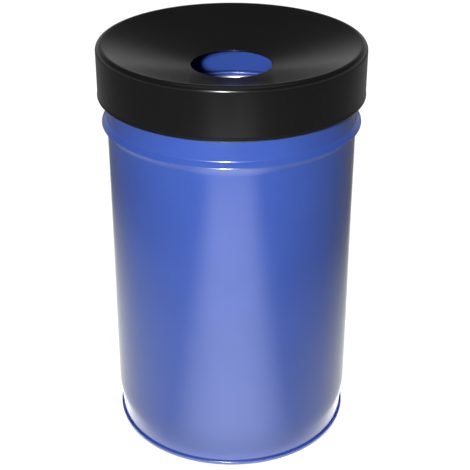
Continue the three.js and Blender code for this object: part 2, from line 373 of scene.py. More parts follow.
def turn_about_axis(places: np.ndarray, angle: float) -> np.ndarray:
    """Turns points about the Z axis.

    Args:
        places: Points, with x, y and z in the last dimension.
        angle: The turn in radians.

    Returns:
        The turned points.
    """
    cosine, sine = math.cos(angle), math.sin(angle)
    turn = np.array([[cosine, sine, 0.0], [-sine, cosine, 0.0], [0.0, 0.0, 1.0]])
    return places @ turn


def mesh_from(name: str, places: np.ndarray, quads: np.ndarray, corners: np.ndarray,
              bend: np.ndarray) -> bpy.types.Mesh:
    """Makes a smooth mesh from arrays.

    Args:
        name: The mesh's name.
        places: The points.
        quads: The four-sided faces.
        corners: The three-sided faces.
        bend: How sharply the sheet bends at each point, from 0 to 1.

    Returns:
        The mesh.
    """
    mesh = bpy.data.meshes.new(name)
    mesh.from_pydata(places.tolist(), [], quads.tolist() + corners.tolist())
    mesh.attributes.new("bend", "FLOAT", "POINT").data.foreach_set("value", bend.astype(np.float32))
    mesh.shade_smooth()
    mesh.update()
    return mesh


def even_angles(count: int) -> np.ndarray:
    """Spreads columns evenly round the axis.

    Args:
        count: How many columns there are.

    Returns:
        Their angles.
    """
    return np.linspace(0.0, 2.0 * math.pi, count, endpoint=False)


def lit_with(body: Body) -> bpy.types.Collection:
    """Finds or makes the collection that the lights of one body shine on; no scene holds it.

    Args:
        body: The body.

    Returns:
        Its collection.
    """
    name = f"lit_with_{body.value}"
    return bpy.data.collections.get(name) or bpy.data.collections.new(name)


def place_piece(mesh: bpy.types.Mesh, material: bpy.types.Material, body: Body,
                node: str) -> bpy.types.Object:
    """Links a finished mesh as a piece: it rides on its body and stands for its CAD node.

    Args:
        mesh: The piece's mesh, already in place.
        material: Its finish.
        body: The body that it moves with.
        node: The CAD node that it stands for.

    Returns:
        The piece.
    """
    piece = bpy.data.objects.new(mesh.name, mesh)
    bpy.context.scene.collection.objects.link(piece)
    lit_with(body).objects.link(piece)
    mesh.materials.append(material)
    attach(piece, body.value)
    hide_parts(node)
    LOG.info("%s: %d faces on body %s", piece.name, len(mesh.polygons), body.value)
    return piece


# ---------------------------------------------------------------- finishes


class NodeSheet:
    """A node tree, with one short method for each kind of node that the finishes and the studio use."""

    def __init__(self, tree: bpy.types.NodeTree, coordinates: str = "Object") -> None:
        """Empties the tree and reads the coordinates that its patterns follow.

        Args:
            tree: The node tree.
            coordinates: Which coordinates to read.
        """
        self.tree = tree
        self.tree.nodes.clear()
        self.place = self.add("TexCoord").outputs[coordinates]

    def add(self, kind: str) -> bpy.types.Node:
        """Adds a node.

        Args:
            kind: The node's kind.

        Returns:
            The node.
        """
        return self.tree.nodes.new(f"ShaderNode{kind}")

    def axes(self) -> tuple[bpy.types.NodeSocket, ...]:
        """Splits the coordinates.

        Returns:
            Their x, y and z.
        """
        split = self.add("SeparateXYZ")
        self.join(self.place, split.inputs["Vector"])
        return tuple(split.outputs)

    def ray(self, kind: str) -> bpy.types.NodeSocket:
        """Asks what kind of ray arrives.

        Args:
            kind: The kind of ray, such as Camera.

        Returns:
            A number that is 1 for that kind and 0 for any other.
        """
        return self.add("LightPath").outputs[f"Is {kind} Ray"]

    def join(self, source: bpy.types.NodeSocket, target: bpy.types.NodeSocket) -> None:
        """Links two sockets.

        Args:
            source: The output.
            target: The input.
        """
        self.tree.links.new(source, target)

    def feed(self, target: bpy.types.NodeSocket, value: object) -> None:
        """Links a socket to a socket, or sets it to a number or colour.

        Args:
            target: The socket that takes the value.
            value: Another node's output, or a plain value.
        """
        if isinstance(value, bpy.types.NodeSocket):
            self.join(value, target)
        else:
            target.default_value = value

    def stretch(self, scale: Colour) -> bpy.types.NodeSocket:
        """Scales the object's coordinates.

        Args:
            scale: The scale along each axis.

        Returns:
            The scaled coordinates.
        """
        mapping = self.add("Mapping")
        mapping.inputs["Scale"].default_value = scale
        self.join(self.place, mapping.inputs["Vector"])
        return mapping.outputs["Vector"]

    def noise(self, size: float, detail: float = 2.0, roughness: float = 0.5,
              vector: bpy.types.NodeSocket | None = None) -> bpy.types.NodeSocket:
        """Adds a noise pattern.

        Args:
            size: The pattern's size in metres.
            detail: How many finer layers it has.
            roughness: How strong the finer layers are.
            vector: Coordinates to use in place of the object's own.

        Returns:
            The pattern, from 0 to 1.
        """
        node = self.add("TexNoise")
        node.inputs["Scale"].default_value = 1.0 / size
        node.inputs["Detail"].default_value = detail
        node.inputs["Roughness"].default_value = roughness
        self.join(vector or self.place, node.inputs["Vector"])
        return node.outputs["Fac"]

    def cells(self, size: float, vector: bpy.types.NodeSocket | None = None) -> bpy.types.NodeSocket:
        """Adds a pattern of cells, each of its own random colour.

        Args:
            size: The cells' size in metres.
            vector: Coordinates to use in place of the object's own.

        Returns:
            The colour.
        """
        node = self.add("TexVoronoi")
        node.inputs["Scale"].default_value = 1.0 / size
        self.join(vector or self.place, node.inputs["Vector"])
        return node.outputs["Color"]

    def attribute(self, name: str) -> bpy.types.NodeSocket:
        """Reads a number that the mesh stores at each point.

        Args:
            name: The attribute's name.

        Returns:
            The number.
        """
        node = self.add("Attribute")
        node.attribute_name = name
        return node.outputs["Fac"]

    def spread(self, value: bpy.types.NodeSocket, source: tuple[float, float], target: tuple[float, float],
               smooth: bool = False) -> bpy.types.NodeSocket:
        """Maps one range of a value onto another, clamped at its ends.

        Args:
            value: What to map.
            source: The range that it comes from.
            target: The range that it goes to.
            smooth: Whether the ends ease in and out.

        Returns:
            The mapped value.
        """
        node = self.add("MapRange")
        node.interpolation_type = "SMOOTHSTEP" if smooth else "LINEAR"
        node.inputs["From Min"].default_value, node.inputs["From Max"].default_value = source
        node.inputs["To Min"].default_value, node.inputs["To Max"].default_value = target
        self.join(value, node.inputs["Value"])
        return node.outputs["Result"]

    def combine(self, operation: str, first: object, second: object) -> bpy.types.NodeSocket:
        """Works out a sum, a product or another simple operation.

        Args:
            operation: The operation's name.
            first: The first value.
            second: The second value, which some operations leave unused.

        Returns:
            The result.
        """
        node = self.add("Math")
        node.operation = operation
        self.feed(node.inputs[0], first)
        self.feed(node.inputs[1], second)
        return node.outputs["Value"]

    def blend(self, share: object, first: object, second: object) -> bpy.types.NodeSocket:
        """Mixes two colours.

        Args:
            share: How much of the second colour shows.
            first: The first colour.
            second: The second colour.

        Returns:
            The mixed colour.
        """
        node = self.add("Mix")
        node.data_type = "RGBA"
        self.feed(node.inputs["Factor"], share)
        colour_inputs = [socket for socket in node.inputs if socket.type == "RGBA"]
        for socket, value in zip(colour_inputs, (first, second)):
            self.feed(socket, (*value, 1.0) if isinstance(value, tuple) else value)
        return next(socket for socket in node.outputs if socket.type == "RGBA")

    def bump(self, height: bpy.types.NodeSocket, depth: float,
             under: bpy.types.NodeSocket | None = None) -> bpy.types.NodeSocket:
        """Turns a pattern into relief.

        Args:
            height: The pattern, from 0 to 1.
            depth: The relief's depth in metres.
            under: Relief that this one lies on.

        Returns:
            The bent normal.
        """
        node = self.add("Bump")
        node.inputs["Distance"].default_value = depth
        self.join(height, node.inputs["Height"])
        if under is not None:
            self.join(under, node.inputs["Normal"])
        return node.outputs["Normal"]


class FinishSheet(NodeSheet):
    """A material's node tree, with its shader."""

    def __init__(self, name: str) -> None:
        """Starts a material with a shader and its output.

        Args:
            name: The material's name.
        """
        self.material = bpy.data.materials.new(name)
        self.material.use_nodes = True
        super().__init__(self.material.node_tree)
        self.shader = self.add("BsdfPrincipled")
        self.join(self.shader.outputs["BSDF"], self.add("OutputMaterial").inputs["Surface"])

    def shade(self, **values: object) -> None:
        """Sets sockets of the shader: an underscore in a name stands for a space.

        Args:
            values: Each socket's name and what it takes.
        """
        for name, value in values.items():
            self.feed(self.shader.inputs[name.replace("_", " ")], value)


@dataclass(frozen=True)
class Lacquer:
    """Stoved lacquer over sheet steel: a coloured coat with orange peel, faint clouding and rubbed bends."""

    name: str
    deep: Colour
    light: Colour
    rubbed: Colour
    roughness: float
    roughness_swing: float
    coat: float
    coat_roughness: float
    peel_size: float
    peel_depth: float
    texture_size: float
    texture_depth: float
    cloud_size: float = 90.0 * MM
    grain_size: float = 2.2 * MM
    scuff_size: float = 1.4 * MM
    smear_size: float = 35.0 * MM

    def material(self) -> bpy.types.Material:
        """Builds the lacquer.

        Returns:
            The material.
        """
        sheet = FinishSheet(self.name)
        clouds = sheet.spread(sheet.noise(self.cloud_size, 3.0), (0.3, 0.7), (0.0, 1.0))
        colour = sheet.blend(clouds, self.deep, self.light)
        grain = sheet.spread(sheet.noise(self.grain_size, 4.0, 0.65), (0.35, 0.75), (0.0, 0.16))
        colour = sheet.blend(grain, colour, self.deep)
        bend = sheet.spread(sheet.attribute("bend"), (0.35, 1.0), (0.0, 1.0))
        scuff = sheet.spread(sheet.noise(self.scuff_size, 5.0, 0.7), (0.52, 0.72), (0.0, 0.55))
        worn = sheet.combine("MULTIPLY", bend, scuff)
        colour = sheet.blend(worn, colour, self.rubbed)
        smear = sheet.noise(self.smear_size, 4.0, 0.6, sheet.stretch((1.0, 1.0, 0.35)))
        low, high = self.roughness - self.roughness_swing, self.roughness + self.roughness_swing
        rough = sheet.spread(smear, (0.25, 0.75), (low, high))
        rough = sheet.combine("ADD", rough, sheet.combine("MULTIPLY", worn, 0.25))
        peel = sheet.bump(sheet.noise(self.peel_size, 1.0, 0.4), self.peel_depth)
        skin = sheet.bump(sheet.noise(self.texture_size, 3.0, 0.6), self.texture_depth, peel)
        sheet.shade(Base_Color=colour, Roughness=rough, Normal=skin, IOR=1.5, Coat_Weight=self.coat,
                    Coat_Roughness=self.coat_roughness, Coat_IOR=1.5)
        return sheet.material


@dataclass(frozen=True)
class Plating:
    """Bright zinc plate: crystal patches, fine rolling lines and a slight yellow-blue passivation."""

    name: str = "zinc_plate"
    pale: Colour = (0.52, 0.54, 0.56)
    warm: Colour = (0.47, 0.45, 0.38)
    patch_size: float = 3.0 * MM
    line_size: float = 0.35 * MM
    film_size: float = 14.0 * MM
    line_depth: float = 0.015 * MM

    def material(self) -> bpy.types.Material:
        """Builds the plating.

        Returns:
            The material.
        """
        sheet = FinishSheet(self.name)
        film = sheet.spread(sheet.noise(self.film_size, 3.0), (0.35, 0.7), (0.0, 0.6))
        colour = sheet.blend(film, self.pale, self.warm)
        patches = sheet.add("SeparateColor")
        sheet.join(sheet.cells(self.patch_size), patches.inputs["Color"])
        patch = patches.outputs["Red"]
        colour = sheet.blend(sheet.spread(patch, (0.0, 1.0), (0.0, 0.22)), colour, self.warm)
        lines = sheet.noise(self.line_size, 4.0, 0.6, sheet.stretch((0.06, 1.0, 0.06)))
        rough = sheet.combine("ADD", sheet.spread(patch, (0.0, 1.0), (0.24, 0.36)),
                              sheet.spread(lines, (0.3, 0.7), (0.0, 0.08)))
        sheet.shade(Base_Color=colour, Metallic=1.0, Roughness=rough,
                    Normal=sheet.bump(lines, self.line_depth))
        return sheet.material


@dataclass(frozen=True)
class DrawnWire:
    """Drawn steel wire: long die lines, a grey skin and a few specks of rust."""

    name: str = "drawn_wire"
    steel: Colour = (0.27, 0.28, 0.29)
    bright: Colour = (0.44, 0.45, 0.46)
    rust: Colour = (0.13, 0.055, 0.025)
    line_size: float = 0.5 * MM
    line_depth: float = 0.02 * MM
    speck_size: float = 4.0 * MM

    def material(self) -> bpy.types.Material:
        """Builds the wire's finish.

        Returns:
            The material.
        """
        sheet = FinishSheet(self.name)
        lines = sheet.noise(self.line_size, 4.0, 0.6, sheet.stretch((0.15, 0.15, 1.0)))
        colour = sheet.blend(sheet.spread(lines, (0.3, 0.7), (0.0, 1.0)), self.steel, self.bright)
        specks = sheet.spread(sheet.noise(self.speck_size, 5.0, 0.7), (0.66, 0.74), (0.0, 0.8))
        colour = sheet.blend(specks, colour, self.rust)
        metal = sheet.spread(specks, (0.0, 0.8), (1.0, 0.2))
        rough = sheet.combine("ADD", sheet.spread(lines, (0.3, 0.7), (0.3, 0.42)),
                              sheet.combine("MULTIPLY", specks, 0.4))
        sheet.shade(Base_Color=colour, Metallic=metal, Roughness=rough,
                    Normal=sheet.bump(lines, self.line_depth))
        return sheet.material


@dataclass(frozen=True)
class PadRubber:
    """Moulded black rubber: matt, faintly greyed, with a fine moulded skin."""

    name: str = "pad_rubber"
    black: Colour = (0.010, 0.010, 0.011)
    bloom: Colour = (0.032, 0.031, 0.030)
    bloom_size: float = 2.5 * MM
    skin_size: float = 0.25 * MM
    skin_depth: float = 0.03 * MM

    def material(self) -> bpy.types.Material:
        """Builds the rubber.

        Returns:
            The material.
        """
        sheet = FinishSheet(self.name)
        bloom = sheet.spread(sheet.noise(self.bloom_size, 4.0, 0.6), (0.4, 0.75), (0.0, 0.8))
        skin = sheet.noise(self.skin_size, 3.0, 0.6)
        sheet.shade(Base_Color=sheet.blend(bloom, self.black, self.bloom),
                    Roughness=sheet.spread(bloom, (0.0, 0.8), (0.62, 0.85)),
                    Normal=sheet.bump(skin, self.skin_depth))
        return sheet.material


@dataclass(frozen=True)
class PaleFloor:
    """Studio floor: a dark matt ground under a glow that makes it an even near-white to the camera.

    What gloss mirrors of it is painted apart from that: a bright ring close to the can, a narrower one
    at its foot, and a bright lane in front of it and behind.
    """

    name: str = "pale_floor"
    ground: Colour = (0.10, 0.10, 0.101)
    ground_shade: Colour = (0.09, 0.09, 0.091)
    cloud_size: float = 0.9
    glow: float = 0.97
    glow_on_pieces: float = 0.08
    ring: float = 0.80
    ring_reach: tuple[float, float] = (0.20, 1.00)
    ring_centre: float = -0.10
    lane: float = 2.3
    lane_half_width: tuple[float, float] = (0.20, 0.60)
    lane_spread: tuple[float, float] = (0.10, 1.00)
    lane_start: tuple[float, float] = (0.10, 0.30)
    lane_end: tuple[float, float] = (1.05, 1.60)
    foot_ring: float = 1.5
    foot_ring_reach: tuple[float, float] = (0.192, 0.212)
    far: float = 0.03

    def ring_round(self, sheet: NodeSheet, centre: float, reach: tuple[float, float],
                   strength: float) -> bpy.types.NodeSocket:
        """Paints a glow that fades with the distance sqrt((x - centre)^2 + y^2).

        Args:
            sheet: The floor's node tree.
            centre: Where the middle lies along X.
            reach: The distances where the fading starts and ends.
            strength: The glow inside the first distance.

        Returns:
            The glow.
        """
        x, y, _ = sheet.axes()
        aside = sheet.combine("SUBTRACT", x, centre)
        squares = sheet.combine("ADD", sheet.combine("MULTIPLY", aside, aside),
                                sheet.combine("MULTIPLY", y, y))
        return sheet.spread(sheet.combine("SQRT", squares, 0.0), reach, (strength, 0.0), smooth=True)

    def material(self) -> bpy.types.Material:
        """Builds the floor's finish.

        The mirrored glow is far + both rings + lane * fall(|x|) * fall(|x| / |y|) * fall(|y|) * rise(|y|).

        Returns:
            The material.
        """
        sheet = FinishSheet(self.name)
        clouds = sheet.spread(sheet.noise(self.cloud_size, 2.0), (0.3, 0.7), (0.0, 1.0))
        ring = self.ring_round(sheet, self.ring_centre, self.ring_reach, self.ring)
        foot = self.ring_round(sheet, 0.0, self.foot_ring_reach, self.foot_ring)
        ring = sheet.combine("ADD", ring, foot)
        x, y, _ = sheet.axes()
        side = sheet.combine("ABSOLUTE", x, 0.0)
        lane = sheet.spread(side, self.lane_half_width, (self.lane, 0.0), smooth=True)
        ahead = sheet.combine("ABSOLUTE", y, 0.0)
        spread = sheet.combine("DIVIDE", side, sheet.combine("MAXIMUM", ahead, MM))
        falls = (
            (spread, self.lane_spread, (1.0, 0.0)),
            (ahead, self.lane_end, (1.0, 0.0)),
            (ahead, self.lane_start, (0.0, 1.0)),
        )
        for value, reach, levels in falls:
            lane = sheet.combine("MULTIPLY", lane, sheet.spread(value, reach, levels, smooth=True))
        mirrored = sheet.combine("ADD", sheet.combine("ADD", ring, lane), self.far)
        shown = sheet.spread(sheet.ray("Camera"), (0.0, 1.0), (self.glow_on_pieces, self.glow))
        strength = sheet.combine("ADD", sheet.combine("MULTIPLY", mirrored, sheet.ray("Glossy")), shown)
        sheet.shade(Base_Color=sheet.blend(clouds, self.ground, self.ground_shade), Roughness=0.9,
                    Specular_IOR_Level=0.0, Emission_Color=(1.0, 1.0, 1.0, 1.0),
                    Emission_Strength=strength)
        return sheet.material


BLUE = Lacquer(
    name="blue_lacquer", deep=(0.043, 0.098, 0.445), light=(0.049, 0.110, 0.480),
    rubbed=(0.16, 0.22, 0.50), roughness=0.24, roughness_swing=0.03, coat=0.45, coat_roughness=0.045,
    peel_size=3.2 * MM, peel_depth=0.010 * MM, texture_size=0.5 * MM, texture_depth=0.0015 * MM,
)
BLACK = Lacquer(
    name="black_lacquer", deep=(0.0050, 0.0050, 0.0056), light=(0.0068, 0.0068, 0.0074),
    rubbed=(0.030, 0.030, 0.031), roughness=0.23, roughness_swing=0.03, coat=0.0, coat_roughness=0.1,
    peel_size=1.6 * MM, peel_depth=0.012 * MM, texture_size=0.30 * MM, texture_depth=0.004 * MM,
)


# ---------------------------------------------------------------- shared places


@dataclass(frozen=True)
class Datum:
    """Radii and heights that neighbouring pieces share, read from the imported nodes."""

    sheet: float
    gap: float
    wire_radius: float
    curl_radius: float
    curl_centre_radius: float
    curl_centre_height: float
    mouth_radius: float
    wall_radius: float
    lip_radius: float
    hook_radius: float
    seam_radius: float
    seam_centre_radius: float
    seam_bottom: float
    seam_top: float

    @classmethod
    def from_frame(cls, sheet: float = 0.8 * MM, gap: float = 0.3 * MM, seam_height: float = 6.7 * MM,
                   bead_reach: float = 7.9 * MM) -> "Datum":
        """Reads the shared places.

        Args:
            sheet: Thickness of the can's and the base's sheet.
            gap: Left between two pieces that touch.
            seam_height: Height of the folded hoop at the base.
            bead_reach: How far the bead's lip stands proud of the plain wall.

        Returns:
            The shared places.
        """
        wire_low, wire_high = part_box("rim_wire")
        base_low, base_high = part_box("base_pan")
        wire_radius = (wire_high.z - wire_low.z) / 2.0
        curl_radius = wire_radius + gap + sheet / 2.0
        curl_centre = wire_high.x - wire_radius
        lip_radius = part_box("can_shell")[1].x - sheet / 2.0
        hook_radius = sheet + gap
        seam_radius = hook_radius + sheet + gap
        return cls(
            sheet=sheet, gap=gap, wire_radius=wire_radius, curl_radius=curl_radius,
            curl_centre_radius=curl_centre, curl_centre_height=(wire_high.z + wire_low.z) / 2.0,
            mouth_radius=curl_centre - curl_radius, wall_radius=lip_radius - bead_reach,
            lip_radius=lip_radius, hook_radius=hook_radius, seam_radius=seam_radius,
            seam_centre_radius=base_high.x - seam_radius - sheet / 2.0,
            seam_bottom=base_low.z + seam_radius + sheet / 2.0,
            seam_top=base_low.z + seam_height - hook_radius - sheet / 2.0,
        )


# ---------------------------------------------------------------- can


@dataclass
class CanWall:
    """The can's wall: one sheet from the hook in the base seam, over the bead, to the curl on the rim."""

    datum: Datum
    columns: int = 312
    curl_turn: float = math.radians(290.0)
    bead_drop: float = 83.7 * MM
    step_slope: float = math.radians(50.0)
    step_radius: float = 3.0 * MM
    neck_taper: float = math.radians(6.0)
    mouth_bend: float = 30.0 * MM
    foot_neck_bottom: float = 8.5 * MM
    foot_neck_height: float = 60.0 * MM
    flare_height: float = 11.5 * MM
    flare_turn: float = math.radians(30.0)
    crease_radius: float = 1.8 * MM
    underside_slope: float = math.radians(10.0)
    lip_bend: float = 1.3 * MM
    weld_angle: float = math.radians(90.0)
    weld_width: float = 1.6 * MM
    weld_height: float = 0.12 * MM
    weld_columns: int = 4
    weld_falloff: float = 2.2
    wave_depth: float = 0.11 * MM
    wave_seed: int = 11
    wave_count: int = 9
    wave_turns: tuple[int, int] = (3, 12)
    wave_rises: tuple[float, float] = (2.0, 15.0)
    held_at_foot: tuple[float, float] = (15.0 * MM, 60.0 * MM)
    held_under_flare: tuple[float, float] = (45.0 * MM, 5.0 * MM)
    dent_angle: float = math.radians(-89.6)
    dent_height: float = 480.0 * MM
    dent_width: float = 4.5 * MM
    dent_depth: float = 0.22 * MM
    dent_stretch: float = 1.4

    @property
    def rim_top(self) -> float:
        """Height of the top of the curl."""
        return self.datum.curl_centre_height + self.datum.curl_radius + self.datum.sheet / 2.0

    @property
    def flare_bottom(self) -> float:
        """Height where the plain wall ends and the flare under the bead starts."""
        lip_height = self.rim_top - self.bead_drop
        return lip_height - self.lip_bend - self.crease_radius - self.flare_height

    def add_foot_neck(self, line: SheetLine) -> SheetLine:
        """Widens the wall from the base seam to its full radius along two opposite arcs.

        Args:
            line: The line, heading up out of the seam.

        Returns:
            The line, on the plain wall.
        """
        turn = 2.0 * math.atan((self.datum.wall_radius - line.radius) / self.foot_neck_height)
        bend = self.foot_neck_height / 2.0 / math.sin(turn)
        return line.to_height(self.foot_neck_bottom).bend(bend, -turn, 8).bend(bend, turn, 8)

    def add_bead(self, line: SheetLine) -> SheetLine:
        """Adds the flare, the crease, the sharp lip and the step, up to the leaning neck.

        Args:
            line: The line, on the plain wall and heading up.

        Returns:
            The line, at the plain wall's radius and heading up along the neck.
        """
        quarter = math.pi / 2
        lip_entry = self.lip_bend * (1.0 - math.sin(self.underside_slope))
        step_reach = self.step_radius * (math.cos(self.neck_taper) - math.cos(self.step_slope))
        return (
            line.to_height(self.flare_bottom)
            .bend(self.flare_height / math.sin(self.flare_turn), -self.flare_turn, 8)
            .bend(self.crease_radius, -(quarter - self.flare_turn - self.underside_slope), 8)
            .to_radius(self.datum.lip_radius - lip_entry)
            .bend(self.lip_bend, quarter - self.underside_slope + self.step_slope, 18)
            .to_radius(self.datum.wall_radius + step_reach)
            .bend(self.step_radius, self.neck_taper - self.step_slope, 9)
        )

    def outline(self) -> Outline:
        """Draws the wall's whole section.

        Returns:
            The section.
        """
        datum = self.datum
        start = datum.seam_centre_radius + datum.hook_radius
        line = SheetLine(start, datum.seam_top, math.radians(270.0))
        line.to_height(datum.seam_bottom).bend(datum.hook_radius, -math.pi, 10)
        self.add_bead(self.add_foot_neck(line))
        mouth_reach = self.mouth_bend * (1.0 - math.cos(self.neck_taper))
        line.to_radius(datum.mouth_radius + mouth_reach).bend(self.mouth_bend, -self.neck_taper, 4)
        line.to_height(datum.curl_centre_height).bend(datum.curl_radius, -self.curl_turn, 30)
        return Outline.of_sheet(line, datum.sheet)

    def angles(self) -> np.ndarray:
        """Spreads the columns evenly, with closer ones across the weld.

        Returns:
            The columns' angles.
        """
        places = np.arange(-self.weld_columns, self.weld_columns + 1) / self.weld_columns
        near = self.weld_angle + places * self.weld_width / self.datum.wall_radius
        spacing = 2.0 * math.pi / self.columns
        even = even_angles(self.columns)
        clear = np.abs(even - self.weld_angle) > np.abs(near - self.weld_angle).max() + spacing / 3.0
        return np.sort(np.concatenate([even[clear], near]))

    def relief(self, angles: np.ndarray, heights: np.ndarray) -> np.ndarray:
        """Works out how the rolled sheet stands out of true round.

        It is a sum of slow waves, each a cosine of a whole number of turns and a share of the height, less
        one shallow bell-shaped dent. It fades out towards the seam and the bead, which hold the sheet round.

        Args:
            angles: The columns' angles.
            heights: The rows' heights, as a column.

        Returns:
            How far each point stands away from the axis.
        """
        draw = np.random.default_rng(self.wave_seed)
        turns = draw.integers(*self.wave_turns, self.wave_count)
        rises = draw.uniform(*self.wave_rises, self.wave_count)
        phases = draw.uniform(0.0, 2.0 * math.pi, (2, self.wave_count))
        sizes = self.wave_depth / np.sqrt(turns + rises)
        round_wave = np.cos(angles[None, :, None] * turns + phases[0])
        tall_wave = np.cos(heights[:, :, None] * rises + phases[1])
        waves = (sizes * round_wave * tall_wave).sum(axis=2)
        start, stop = (self.flare_bottom - reach for reach in self.held_under_flare)
        held = smoothstep(heights, *self.held_at_foot) * (1.0 - smoothstep(heights, start, stop))
        across = (angles[None, :] - (self.dent_angle % (2.0 * math.pi))) * self.datum.wall_radius
        along = heights - self.dent_height
        bell = np.exp(-(across**2 + (along / self.dent_stretch) ** 2) / (2.0 * self.dent_width**2))
        return waves * held - self.dent_depth * bell

    def weld(self, angles: np.ndarray) -> np.ndarray:
        """Works out the weld's height: a bell across the seam on both faces of the sheet.

        Args:
            angles: The columns' angles.

        Returns:
            How far each column's faces swell.
        """
        across = (angles - self.weld_angle) * self.datum.wall_radius
        return self.weld_height * np.exp(-((across / (self.weld_width / self.weld_falloff)) ** 2))

    def build(self, material: bpy.types.Material) -> None:
        """Builds the wall and dresses it.

        Args:
            material: The lacquer.
        """
        outline, angles = self.outline(), self.angles()
        relief = self.relief(angles, outline.points[:, 1:])
        grid = Grid.revolved(outline, angles, relief, self.weld(angles)[None, :])
        place_piece(grid.to_mesh("can_wall"), material, Body.CAN, "can_shell")


@dataclass
class BasePan:
    """The can's base: a raised disc, a short wall, the foot, and the hoop that hooks over the can's edge."""

    datum: Datum
    columns: int = 256
    bend_radius: float = 4.0 * MM
    foot_flat: float = 1.5 * MM
    sag: float = 0.25 * MM

    def outline(self) -> Outline:
        """Draws the base's section, from the axis out to the hidden hook.

        Returns:
            The section, open on the axis.
        """
        datum = self.datum
        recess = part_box("base_pan")[1].z - datum.sheet / 2.0
        wall = datum.seam_centre_radius - datum.seam_radius - self.foot_flat
        quarter = math.pi / 2
        line = SheetLine(0.0, recess, 0.0, step=7.0 * MM)
        line.to_radius(wall - self.bend_radius).bend(self.bend_radius, -quarter, 10)
        line.to_height(datum.seam_bottom).bend(datum.seam_radius, quarter, 10).straight(self.foot_flat)
        line.bend(datum.seam_radius, quarter, 10).to_height(datum.seam_top)
        line.bend(datum.hook_radius, math.pi, 14).to_height(datum.seam_bottom + datum.gap)
        return Outline.of_sheet(line, datum.sheet, on_axis=True)

    def build(self, material: bpy.types.Material) -> None:
        """Builds the base, its disc sagging as a shallow bowl whose depth is sag times 1 - (r/R)^2 squared.

        Args:
            material: The lacquer.
        """
        outline = self.outline()
        reach = self.datum.seam_centre_radius - self.datum.seam_radius - self.foot_flat
        share = np.clip(outline.points[:, 0] / reach, 0.0, 1.0)
        outline.points[:, 1] -= self.sag * (1.0 - share**2) ** 2
        grid = Grid.revolved(outline, even_angles(self.columns))
        place_piece(grid.to_mesh("base_hoop_pan"), material, Body.CAN, "base_pan")


@dataclass
class RimWire:
    """The steel wire inside the curl, drawn as one closed ring though the real one is butted at the back."""

    datum: Datum
    columns: int = 256
    sides: int = 24
    draw_depth: float = 0.015 * MM

    def build(self, material: bpy.types.Material) -> None:
        """Builds the wire: a circle carried round the rim, its radius rippling where the die marked it.

        Args:
            material: The wire's finish.
        """
        angles = even_angles(self.columns)
        round_wire = even_angles(self.sides)
        radius = self.datum.wire_radius - self.draw_depth * (1.0 + np.cos(round_wire * 5.0)) / 2.0
        points = np.column_stack([
            self.datum.curl_centre_radius + radius * np.cos(round_wire),
            self.datum.curl_centre_height + radius * np.sin(round_wire),
        ])
        grid = Grid.revolved(Outline.of_points(points, closed=True), angles)
        place_piece(grid.to_mesh("rim_wire_ring"), material, Body.CAN, "rim_wire")


# ---------------------------------------------------------------- head


@dataclass
class HeadCover:
    """The head's one pressing: hem, skirt, rounded crest, hollow dish and the throw-in hole's rolled edge."""

    columns: int = 312
    sheet: float = 1.0 * MM
    crest_radius: float = 8.3 * MM
    hem_radius: float = 1.8 * MM
    hem_swell: float = 0.6 * MM
    hem_swell_turn: float = math.radians(15.0)
    slope_at_crest: float = math.radians(18.5)
    slope_at_hole: float = math.radians(12.0)
    hole_radius: float = 60.5 * MM
    hole_lip: float = 1.2 * MM
    wave_depth: float = 0.10 * MM
    waves: tuple[tuple[float, float, float], ...] = ((1.0, 4.0, 0.7), (0.5, 7.0, 2.1), (0.3, 11.0, 0.0))
    skirt_width: float = 5.0 * MM

    def outline(self) -> Outline:
        """Draws the pressing's section from the hem to the hole.

        Returns:
            The section.
        """
        low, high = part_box("head_cover")
        skirt = high.x - self.hem_swell - self.sheet / 2.0
        hem_bend = self.hem_radius - self.sheet / 2.0
        swell_radius = self.hem_swell / 2.0 / (1.0 - math.cos(self.hem_swell_turn))
        crest_bend = self.crest_radius - self.sheet / 2.0
        lip_bend = self.hole_lip - self.sheet / 2.0
        dish_start = skirt - crest_bend * (1.0 + math.sin(self.slope_at_crest))
        dish_end = self.hole_radius + self.hole_lip - lip_bend * math.sin(self.slope_at_hole)
        slope_change = math.sin(self.slope_at_crest) - math.sin(self.slope_at_hole)
        start = skirt + self.hem_swell - 2.0 * hem_bend
        line = SheetLine(start, low.z + self.hem_radius, math.radians(270.0))
        line.bend(hem_bend, math.pi, 16)
        line.bend(swell_radius, self.hem_swell_turn, 5).bend(swell_radius, -self.hem_swell_turn, 5)
        line.to_height(high.z - self.crest_radius).bend(crest_bend, math.pi / 2 + self.slope_at_crest, 24)
        line.bend((dish_start - dish_end) / slope_change, self.slope_at_hole - self.slope_at_crest, 26)
        line.bend(lip_bend, math.pi, 14)
        return Outline.of_sheet(line, self.sheet)

    def relief(self, angles: np.ndarray, outline: Outline) -> np.ndarray:
        """Works out the spring-back of the skirt: three slow waves round it that fade towards the crest.

        Each wave is its size times the cosine of its number of turns and its phase.

        Args:
            angles: The columns' angles.
            outline: The pressing's section.

        Returns:
            How far each point moves away from the axis.
        """
        low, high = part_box("head_cover")
        height = outline.points[:, 1:]
        radius = outline.points[:, :1]
        on_skirt = radius > high.x - self.skirt_width
        free = (1.0 - smoothstep(height, low.z, high.z - self.crest_radius)) * on_skirt
        total = sum(size for size, _, _ in self.waves)
        waves = sum(size * np.cos(turns * angles + phase) for size, turns, phase in self.waves)
        return self.wave_depth * free * (waves[None, :] - total) / (2.0 * total)

    def build(self, material: bpy.types.Material) -> None:
        """Builds the head's pressing.

        Args:
            material: The lacquer.
        """
        outline, angles = self.outline(), even_angles(self.columns)
        grid = Grid.revolved(outline, angles, self.relief(angles, outline))
        place_piece(grid.to_mesh("head_pressing"), material, Body.HEAD, "head_cover")


